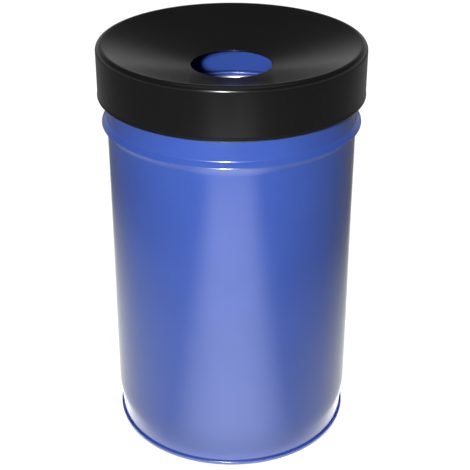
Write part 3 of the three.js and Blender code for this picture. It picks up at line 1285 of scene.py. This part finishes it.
@dataclass
class HeadSeat:
    """One of the head's four seats: a bent strip on a welded stud and nut, with a rubber pad on the rim."""

    number: int
    sheet: float = 1.5 * MM
    bend_radius: float = 2.0 * MM
    corner: float = 3.0 * MM
    edge_bevel: float = 0.22 * MM
    gap: float = 0.3 * MM
    button_thickness: float = 1.4 * MM
    button_radius: float = 3.8 * MM
    stem_radius: float = 2.2 * MM
    pad_thickness: float = 5.0 * MM
    thread_pitch: float = 0.8 * MM
    thread_depth: float = 0.45 * MM
    nut_bore: float = 2.62 * MM
    nut_chamfer: float = 0.35 * MM
    nut_corner_cut: float = 0.55 * MM
    nut_corner_slope: float = 1.1
    nut_columns: int = 96
    thread_columns: int = 36
    thread_rows: int = 9
    thread_run_out: tuple[float, float] = (2.4 * MM, 1.6 * MM)
    tip_length: float = 0.9 * MM
    tip_slope: float = 0.8
    blank_columns: int = 11
    blank_corner_points: int = 7
    blank_hole_points: int = 28
    blank_hole_margin: float = 0.7 * MM
    blank_corner_margin: float = 1.2
    columns: int = 48

    @property
    def angle(self) -> float:
        """Where the seat stands round the head."""
        low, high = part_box(f"rest_pad_{self.number}")
        return math.atan2(low.y + high.y, low.x + high.x)

    def first(self, kind: str) -> tuple[Vector, Vector]:
        """Finds the box of the first seat's node of a kind, which stands on the X axis.

        Args:
            kind: The node's name without its number.

        Returns:
            The box's lowest and highest corners.
        """
        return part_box(f"{kind}_1")

    def strip_mesh(self) -> bpy.types.Mesh:
        """Cuts the strip's flat blank and bends it.

        The blank is a rectangle with rounded corners and two holes, cut into triangles between rows that lie
        closer together in the bends. A point at (s, w) of the blank goes to the bent line's point at length
        s, w to the side.

        Returns:
            The strip's middle surface.
        """
        low, high = self.first("rest_bracket")
        pad_low, pad_high = self.first("rest_pad")
        stud_low, stud_high = self.first("bracket_stud")
        shelf = pad_high.z - self.button_thickness - self.gap - self.sheet / 2.0
        leg, tongue, half_width = high.x - self.sheet / 2.0, low.x + self.sheet / 2.0, high.y
        line = SheetLine(leg, high.z, math.radians(270.0), step=2.2 * MM, guard=0.5 * MM)
        line.to_height(shelf + self.bend_radius).bend(self.bend_radius, -math.pi / 2, 8)
        line.to_radius(tongue + self.bend_radius).bend(self.bend_radius, math.pi / 2, 8).to_height(low.z)
        table = line.table()
        steps = np.linalg.norm(np.diff(table[:, :2], axis=0), axis=1)
        length = np.concatenate([[0.0], np.cumsum(steps)])
        stud_at = high.z - (stud_low.z + stud_high.z) / 2.0
        on_shelf = np.argmin(np.hypot(table[:, 0] - (pad_low.x + pad_high.x) / 2.0, table[:, 1] - shelf))
        pad_at = length[on_shelf] + table[on_shelf, 0] - (pad_low.x + pad_high.x) / 2.0
        stud_radius = (stud_high.z - stud_low.z) / 2.0
        holes = [(stud_at, stud_radius + self.gap), (pad_at, self.stem_radius + self.gap)]
        blank, faces = self.blank(length, half_width, holes)
        radius = np.interp(blank[:, 0], length, table[:, 0])
        height = np.interp(blank[:, 0], length, table[:, 1])
        places = turn_about_axis(np.column_stack([radius, blank[:, 1], height]), self.angle)
        LOG.info("strip %d: blank %.1f mm long", self.number, length[-1] / MM)
        return mesh_from(f"bracket_strip_{self.number}", places, np.empty((0, 4), int), faces,
                         np.zeros(len(places)))

    def blank(self, length: np.ndarray, half_width: float,
              holes: list[tuple[float, float]]) -> tuple[np.ndarray, np.ndarray]:
        """Cuts the flat blank into triangles.

        Args:
            length: Where the rows lie along the blank.
            half_width: Half of its width.
            holes: Each hole's place along the blank and its radius.

        Returns:
            The blank's points and its triangles.
        """
        total, corner = length[-1], self.corner
        turn = np.linspace(0.0, math.pi / 2, self.blank_corner_points)
        centres = [(total - corner, half_width - corner), (corner, half_width - corner),
                   (corner, corner - half_width), (total - corner, corner - half_width)]
        corners = [(x, y, turn + k * math.pi / 2) for k, (x, y) in enumerate(centres)]
        rim = np.vstack([np.column_stack([x + corner * np.cos(way), y + corner * np.sin(way)])
                         for x, y, way in corners])
        across = np.linspace(-half_width, half_width, self.blank_columns)[1:-1]
        inner = np.stack(np.meshgrid(length[1:-1], across, indexing="ij"), axis=-1).reshape(-1, 2)
        margin = corner * self.blank_corner_margin
        sides = length[(length > margin) & (length < total - margin)]
        upper = np.column_stack([sides[::-1], np.full(sides.size, half_width)])
        lower = np.column_stack([sides, np.full(sides.size, -half_width)])
        count = turn.size
        rim = np.vstack([rim[:count], upper, rim[count:3 * count], lower, rim[3 * count:]])
        loops = [rim]
        for place, radius in holes:
            circle = even_angles(self.blank_hole_points)
            loops.append(np.column_stack([place + radius * np.cos(circle), radius * np.sin(circle)]))
            inner = inner[np.hypot(inner[:, 0] - place, inner[:, 1]) > radius + self.blank_hole_margin]
        near_end = (inner[:, 0] < corner) | (inner[:, 0] > total - corner)
        inner = inner[~(near_end & (np.abs(inner[:, 1]) > half_width - corner))]
        sizes = [len(loop) for loop in loops]
        starts = np.concatenate([[0], np.cumsum(sizes)])
        edges = [(int(start + i), int(start + (i + 1) % size))
                 for start, size in zip(starts, sizes) for i in range(size)]
        points = np.vstack([*loops, inner])
        scale = 1.0 / MM
        found = delaunay_2d_cdt([Vector(p) for p in (points * scale).tolist()], edges, [], 0, 1e-5)
        places = np.array([tuple(p) for p in found[0]]) / scale
        faces = np.array(found[2])
        middle = places[faces].mean(axis=1)
        kept = np.ones(len(faces), bool)
        for place, radius in holes:
            kept &= np.hypot(middle[:, 0] - place, middle[:, 1]) > radius * 0.98
        return places, faces[kept]

    def pad_mesh(self) -> bpy.types.Mesh:
        """Turns the pad: a foot with rounded edges, a stem through the strip and a button that holds it in.

        Returns:
            The pad's mesh.
        """
        low, high = self.first("rest_pad")
        centre, foot_radius = (low.x + high.x) / 2.0, (high.y - low.y) / 2.0
        shoulder = low.z + self.pad_thickness
        under_button = high.z - self.button_thickness
        path = rounded_path([
            (0.0, low.z, 0.0), (foot_radius, low.z, 1.1 * MM), (foot_radius, shoulder, 0.5 * MM),
            (self.stem_radius, shoulder, 0.25 * MM), (self.stem_radius, under_button, 0.1 * MM),
            (self.button_radius, under_button, 0.25 * MM), (self.button_radius * 0.62, high.z, 0.8 * MM),
            (0.0, high.z, 0.0),
        ], 6)
        grid = Grid.revolved(Outline.of_points(path, closed=False), even_angles(self.columns))
        grid.places[..., 0] += centre
        return grid.turned(self.angle).to_mesh(f"pad_foot_{self.number}")

    def stud_mesh(self) -> bpy.types.Mesh:
        """Cuts the stud's thread: the radius follows a saw of the length less the angle's share of one pitch.

        Returns:
            The stud's mesh.
        """
        low, high = self.first("bracket_stud")
        radius, middle = (high.z - low.z) / 2.0, (high.z + low.z) / 2.0
        length = high.x - low.x
        along = np.linspace(0.0, length, math.ceil(length / self.thread_pitch * self.thread_rows))
        angles = even_angles(self.thread_columns)
        phase = (along[:, None] / self.thread_pitch - angles[None, :] / (2.0 * math.pi)) % 1.0
        groove = np.clip(1.15 - np.abs(2.0 * phase - 1.0) * 1.3, 0.0, 1.0)
        start, stop = (length - reach for reach in self.thread_run_out)
        cut = groove * (1.0 - smoothstep(along, start, stop))[:, None]
        tip = np.clip(self.tip_length - along, 0.0, None)[:, None] * self.tip_slope
        shape = radius - np.maximum(cut * self.thread_depth, tip)
        rows = np.zeros((along.size + 2, angles.size, 3))
        rows[1:-1, :, 0] = low.x + along[:, None]
        rows[1:-1, :, 1] = shape * np.cos(angles)
        rows[1:-1, :, 2] = middle + shape * np.sin(angles)
        rows[0] = (low.x, 0.0, middle)
        rows[-1] = (high.x, 0.0, middle)
        rows = rows[::-1]
        return Grid(turn_about_axis(rows, self.angle), False, np.zeros(len(rows))).to_mesh(
            f"stud_thread_{self.number}")

    def nut_mesh(self) -> bpy.types.Mesh:
        """Turns and mills the nut.

        Its outside is the smaller of a hexagon, which is the apothem over the cosine of the angle from the
        middle of its side, and a cone at each face that takes the corners off.

        Returns:
            The nut's mesh.
        """
        low, high = self.first("bracket_nut")
        middle, apothem = (high.z + low.z) / 2.0, (high.z - low.z) / 2.0
        angles = even_angles(self.nut_columns)
        sector = (angles % (math.pi / 3)) - math.pi / 6
        hexagon = apothem / np.cos(sector)
        corner = apothem / math.cos(math.pi / 6)
        depth = high.x - low.x
        ends = np.array([0.0, 0.12, 0.3, 0.5, 0.75, 1.0, 1.4]) * MM
        outer_x = np.concatenate([ends, [depth / 2.0], depth - ends[::-1]])
        cone = corner - self.nut_corner_cut + np.minimum(outer_x, depth - outer_x) * self.nut_corner_slope
        outer = np.minimum(hexagon[None, :], cone[:, None])
        inner_x = np.array([depth, depth - self.nut_chamfer, depth / 2.0, self.nut_chamfer, 0.0])
        chamfer = np.array([1.0, 0.0, 0.0, 0.0, 1.0]) * self.nut_chamfer
        inner = np.broadcast_to((self.nut_bore + chamfer)[:, None], (5, angles.size))
        radius = np.vstack([outer, inner])
        places = np.empty((*radius.shape, 3))
        places[..., 0] = low.x + np.concatenate([outer_x, inner_x])[:, None]
        places[..., 1] = radius * np.sin(angles)
        places[..., 2] = middle + radius * np.cos(angles)
        places = places[::-1]
        return Grid(turn_about_axis(places, self.angle), True, np.zeros(len(places))).to_mesh(
            f"nut_hexagon_{self.number}")

    def build(self, steel: bpy.types.Material, rubber: bpy.types.Material) -> None:
        """Builds the seat's four pieces.

        Args:
            steel: The zinc plate.
            rubber: The pad's rubber.
        """
        number = self.number
        strip = place_piece(self.strip_mesh(), steel, Body.HEAD, f"rest_bracket_{number}")
        solid = strip.modifiers.new("sheet", "SOLIDIFY")
        solid.thickness, solid.offset = self.sheet, 0.0
        bevel = strip.modifiers.new("edges", "BEVEL")
        bevel.width, bevel.segments, bevel.angle_limit = self.edge_bevel, 2, math.radians(50.0)
        place_piece(self.pad_mesh(), rubber, Body.HEAD, f"rest_pad_{number}")
        place_piece(self.stud_mesh(), steel, Body.HEAD, f"bracket_stud_{number}")
        place_piece(self.nut_mesh(), steel, Body.HEAD, f"bracket_nut_{number}")


# ---------------------------------------------------------------- studio


@dataclass(frozen=True)
class SoftLight:
    """A flat studio light that looks at a point.

    It may shine on one body only, and it may stay out of gloss or out of matt light.
    """

    name: str
    place: Colour
    target: Colour
    width: float
    height: float
    power: float
    in_gloss: bool = True
    in_diffuse: bool = True
    only_on: Body | None = None

    def build(self) -> None:
        """Hangs the light."""
        data = bpy.data.lights.new(self.name, "AREA")
        data.shape = "RECTANGLE"
        data.size, data.size_y, data.energy = self.width, self.height, self.power
        lamp = bpy.data.objects.new(self.name, data)
        bpy.context.scene.collection.objects.link(lamp)
        lamp.location = self.place
        lamp.rotation_euler = (Vector(self.target) - Vector(self.place)).to_track_quat("-Z", "Y").to_euler()
        lamp.visible_camera = False
        lamp.visible_glossy = self.in_gloss
        lamp.visible_diffuse = self.in_diffuse
        if self.only_on is not None:
            lamp.light_linking.receiver_collection = lit_with(self.only_on)


@dataclass
class Studio:
    """Floor, surroundings, lights and camera."""

    camera_place: Colour = (0.0, -1.6267, 1.1659)
    camera_tilt: float = math.radians(90.0 - 27.68)
    lens: float = 88.15
    shift: float = 0.0073
    floor_reach: float = 14.0
    sky_dark: float = 0.06
    ground_bright: float = 0.25
    band_bright: float = 0.56
    band_dark: float = 0.085
    zenith_bright: float = 0.55
    level_reach: tuple[float, float] = (-0.06, 0.10)
    band_reach: tuple[float, float] = (0.10, 0.50)
    zenith_reach: tuple[float, float] = (0.82, 1.0)
    seen_colour: Colour = (0.97, 0.97, 0.975)
    key_place: Colour = (-0.19, -1.62, 1.17)
    glint_place: Colour = (-0.17, -1.60, 1.17)
    top_place: Colour = (0.0, 0.3, 3.4)
    back_left_place: Colour = (-0.85, 1.81, 1.40)
    back_right_place: Colour = (0.85, 1.81, 1.40)
    aim_share: float = 0.55

    def camera(self) -> None:
        """Sets the camera at the height and distance from which the bin is seen."""
        data = bpy.data.cameras.new("studio_camera")
        data.lens, data.shift_x, data.sensor_width = self.lens, self.shift, 36.0
        data.clip_start, data.clip_end = 0.05, 60.0
        camera = bpy.data.objects.new("studio_camera", data)
        bpy.context.scene.collection.objects.link(camera)
        camera.location = self.camera_place
        camera.rotation_euler = (self.camera_tilt, 0.0, 0.0)
        bpy.context.scene.camera = camera

    def floor(self) -> None:
        """Lays the floor, a flat grid of squares just under the bin."""
        line = np.linspace(-self.floor_reach, self.floor_reach, 9)
        x, y = np.meshgrid(line, line, indexing="xy")
        places = np.column_stack([x.ravel(), y.ravel(), np.full(x.size, -0.2 * MM)])
        number = np.arange(x.size).reshape(x.shape)
        quads = np.stack([number[:-1, :-1], number[:-1, 1:], number[1:, 1:], number[1:, :-1]], axis=-1)
        mesh = mesh_from("studio_floor", places, quads.reshape(-1, 4), np.empty((0, 3), int),
                         np.zeros(x.size))
        mesh.materials.append(PaleFloor().material())
        floor = bpy.data.objects.new("studio_floor", mesh)
        bpy.context.scene.collection.objects.link(floor)
        lit_with(Body.CAN).objects.link(floor)
        floor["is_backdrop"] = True

    def surroundings(self) -> None:
        """Makes the surroundings: pale where they are seen, dark above and paler below where they only light.

        Gloss sees a pale band along the horizon, a darker belt over it and a soft glow overhead.
        """
        world = bpy.data.worlds.new("studio")
        bpy.context.scene.world = world
        world.use_nodes = True
        sheet = NodeSheet(world.node_tree, "Generated")
        up = sheet.axes()[2]
        level = sheet.spread(up, self.level_reach, (self.ground_bright, self.sky_dark))
        band = sheet.spread(up, self.band_reach, (self.band_bright, self.band_dark), smooth=True)
        zenith = sheet.spread(up, self.zenith_reach, (0.0, self.zenith_bright), smooth=True)
        strength, light, shown = sheet.add("Mix"), sheet.add("Background"), sheet.add("Background")
        sheet.feed(strength.inputs["Factor"], sheet.ray("Glossy"))
        sheet.feed(strength.inputs["A"], level)
        sheet.feed(strength.inputs["B"], sheet.combine("ADD", band, zenith))
        sheet.feed(light.inputs["Strength"], strength.outputs["Result"])
        sheet.feed(shown.inputs["Color"], (*self.seen_colour, 1.0))
        chooser = sheet.add("MixShader")
        sheet.feed(chooser.inputs["Fac"], sheet.ray("Camera"))
        sheet.join(light.outputs["Background"], chooser.inputs[1])
        sheet.join(shown.outputs["Background"], chooser.inputs[2])
        sheet.join(chooser.outputs["Shader"], sheet.add("OutputWorld").inputs["Surface"])

    def lights(self) -> None:
        """Hangs the lights: small ones by the camera, a soft top fill and two soft ones behind the bin.

        The can and the head each have a key of their own, and the head's is the weaker one.
        """
        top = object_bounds()[1].z
        middle, crest = (0.0, 0.0, top * self.aim_share), (0.0, 0.0, top)
        lamps = (
            SoftLight("key", self.key_place, middle, 0.08, 0.08, 32.5, only_on=Body.CAN),
            SoftLight("head_key", self.key_place, crest, 0.12, 0.10, 24.0, only_on=Body.HEAD),
            SoftLight("top_fill", self.top_place, middle, 3.0, 3.0, 5.0, in_gloss=False),
            SoftLight("back_left", self.back_left_place, middle, 0.8, 0.8, 19.0, in_gloss=False),
            SoftLight("back_right", self.back_right_place, middle, 0.8, 0.8, 19.0, in_gloss=False),
            SoftLight("glint", self.glint_place, middle, 0.22, 0.18, 85.0, in_diffuse=False,
                      only_on=Body.CAN),
        )
        for lamp in lamps:
            lamp.build()

    def build(self) -> None:
        """Builds the whole studio."""
        self.floor()
        self.surroundings()
        self.lights()
        settings = bpy.context.scene.view_settings
        settings.view_transform = "Standard"
        settings.look = "None"


def main() -> None:
    logging.basicConfig(level=logging.INFO, format="%(name)s: %(message)s")
    studio = Studio()
    studio.camera()
    blue, black = BLUE.material(), BLACK.material()
    steel, rubber = Plating().material(), PadRubber().material()
    datum = Datum.from_frame()
    CanWall(datum).build(blue)
    BasePan(datum).build(blue)
    RimWire(datum).build(DrawnWire().material())
    HeadCover().build(black)
    seats = sum(name.startswith("rest_pad_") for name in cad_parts)
    for number in range(1, seats + 1):
        HeadSeat(number).build(steel, rubber)
    studio.build()


if __name__ == "__main__":
    main()
